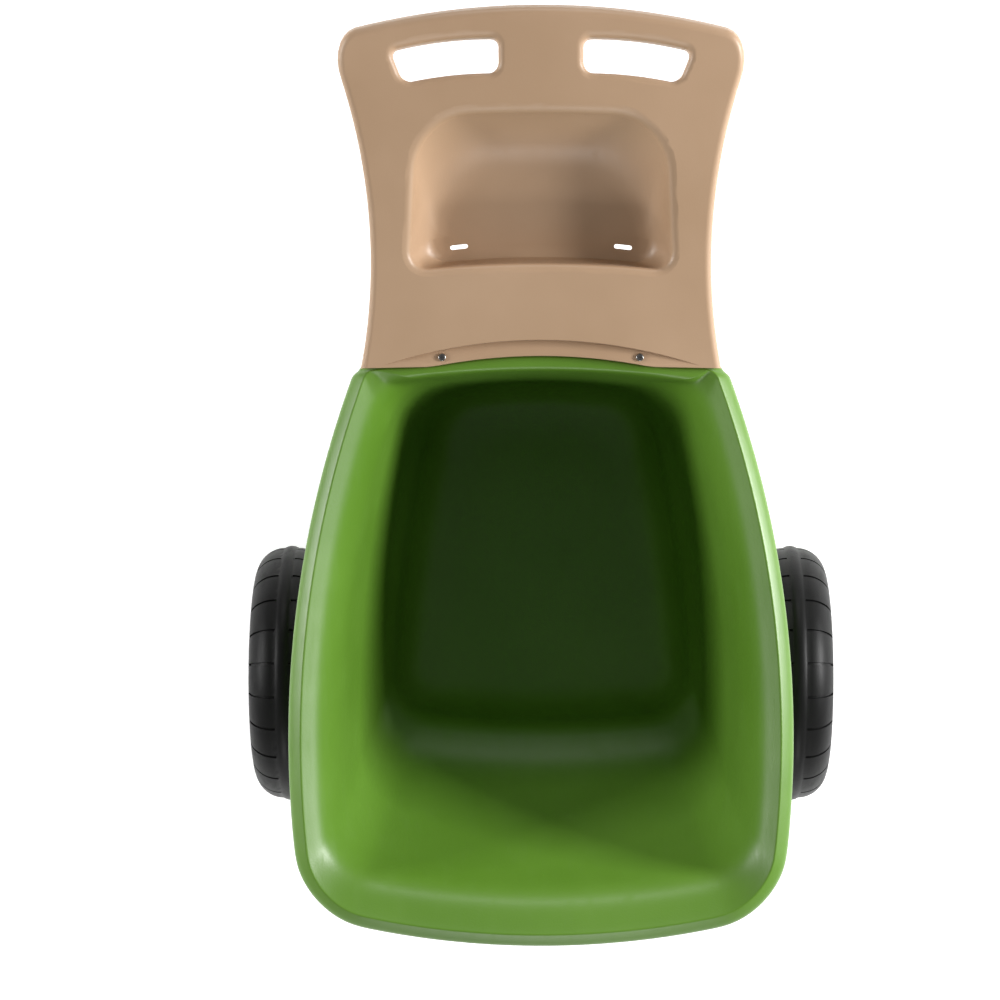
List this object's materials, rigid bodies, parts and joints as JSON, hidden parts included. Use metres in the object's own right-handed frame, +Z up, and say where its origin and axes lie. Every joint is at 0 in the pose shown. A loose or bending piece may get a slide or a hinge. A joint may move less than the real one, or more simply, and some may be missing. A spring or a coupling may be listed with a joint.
{
  "type": "yard cart",
  "caption": "Wheeled poly yard cart: scoop-shaped tub with a pouring lip, sloping handle panel with hand holes and a tool tray, moulded wheels on a steel axle.",
  "frame": {"origin": "on the ground, in the middle of the cart's outline seen from above", "axes": "+Z up, +Y from the pouring lip towards the handle, +X to the right seen from above with the handle at the top"},
  "size_m": [0.7938, 1.1747, 0.7431],
  "materials": {
    "tub_green": "satin moulded polyethylene",
    "panel_tan": "satin moulded polyethylene",
    "wheel_black": "satin black moulded plastic",
    "hardware_black": "satin",
    "nylon": "satin",
    "steel": "zinc plated"
  },
  "bodies": {
    "cart": {"tub": "tub_green", "handle_panel": "panel_tan", "rear_stand": "panel_tan", "panel_front_screws": "steel", "panel_front_nuts": "steel", "panel_brace_screws": "steel", "stand_screws": "steel", "axle": "steel", "axle_clamp_screws": "steel", "left_axle_clamp": "hardware_black", "left_spacer": "hardware_black", "left_inner_washer": "steel", "left_outer_washer": "steel", "left_push_nut": "steel", "right_axle_clamp": "hardware_black", "right_spacer": "hardware_black", "right_inner_washer": "steel", "right_outer_washer": "steel", "right_push_nut": "steel"},
    "left_wheel_assembly": {"left_wheel": "wheel_black", "left_inner_bushing": "nylon", "left_outer_bushing": "nylon", "left_hub_cap": "hardware_black"},
    "right_wheel_assembly": {"right_wheel": "wheel_black", "right_inner_bushing": "nylon", "right_outer_bushing": "nylon", "right_hub_cap": "hardware_black"}
  },
  "joints": [
    {"name": "left_wheel_spin", "type": "hinge", "parent": "cart", "child": "left_wheel_assembly", "pos_m": [-0.3494, -0.26, 0.178], "axis": [1, 0, 0], "continuous": true},
    {"name": "right_wheel_spin", "type": "hinge", "parent": "cart", "child": "right_wheel_assembly", "pos_m": [0.3494, -0.26, 0.178], "axis": [1, 0, 0], "continuous": true}
  ]
}
